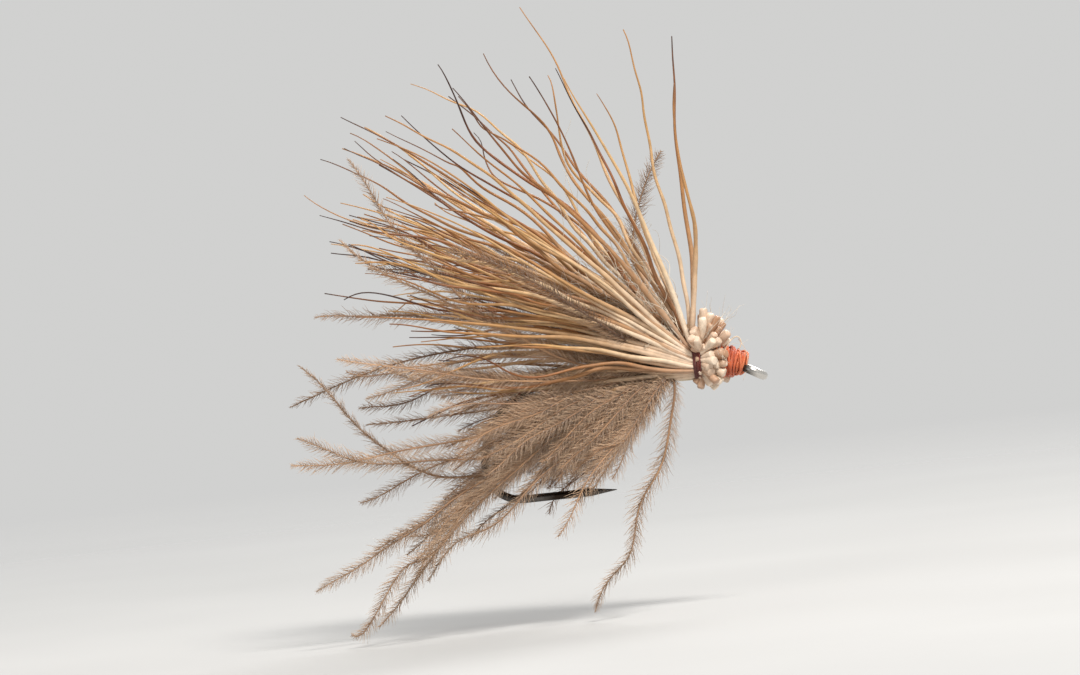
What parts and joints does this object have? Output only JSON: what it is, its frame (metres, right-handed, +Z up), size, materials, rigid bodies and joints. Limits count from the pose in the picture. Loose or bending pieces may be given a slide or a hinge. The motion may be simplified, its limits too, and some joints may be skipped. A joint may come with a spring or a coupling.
{
  "type": "dry fly",
  "caption": "Trout dry fly: a down-eye hook with a wound feather body, soft trailing feather barbs, a swept deer-hair wing with clipped butts, and a rust thread head.",
  "frame": {"origin": "centre of the hole in the hook's eye", "axes": "+X forward along the level shank towards the eye, +Z up towards the wing, Y across the hook, the pictured near side at -Y"},
  "size_m": [0.0278, 0.0199, 0.0345],
  "materials": {
    "hook_wire": "bronzed steel wire, smooth and semi-gloss",
    "thread_dark": "waxed rust-brown tying thread",
    "thread_head": "orange-rust tying thread, lightly waxed",
    "cdc_feather": "grey-tan down, matte and fine",
    "deer_hair": "natural hair, cream at the butt to brown at the tip, soft sheen",
    "underfur": "fine grey fur, matte"
  },
  "bodies": {
    "root": {"hook": "hook_wire", "thread_base": "thread_dark", "rear_tie_in": "thread_dark", "cdc_body": "cdc_feather", "cdc_stem": "cdc_feather", "cdc_tie_off": "thread_dark", "cdc_barbs_near_trailing": "cdc_feather", "cdc_barbs_near_drooping": "cdc_feather", "cdc_barbs_far_trailing": "cdc_feather", "cdc_barbs_far_drooping": "cdc_feather", "cdc_barbs_over_wing": "cdc_feather", "cdc_skirt_near": "cdc_feather", "cdc_skirt_far": "cdc_feather", "wing_hair_upright": "deer_hair", "wing_hair_upper_near": "deer_hair", "wing_hair_upper_far": "deer_hair", "wing_hair_mid_near": "deer_hair", "wing_hair_mid_far": "deer_hair", "wing_hair_low_near": "deer_hair", "wing_hair_low_far": "deer_hair", "wing_underfur": "underfur", "wing_lashing": "thread_dark", "head_wraps": "thread_head", "whip_finish": "thread_head"}
  },
  "joints": []
}
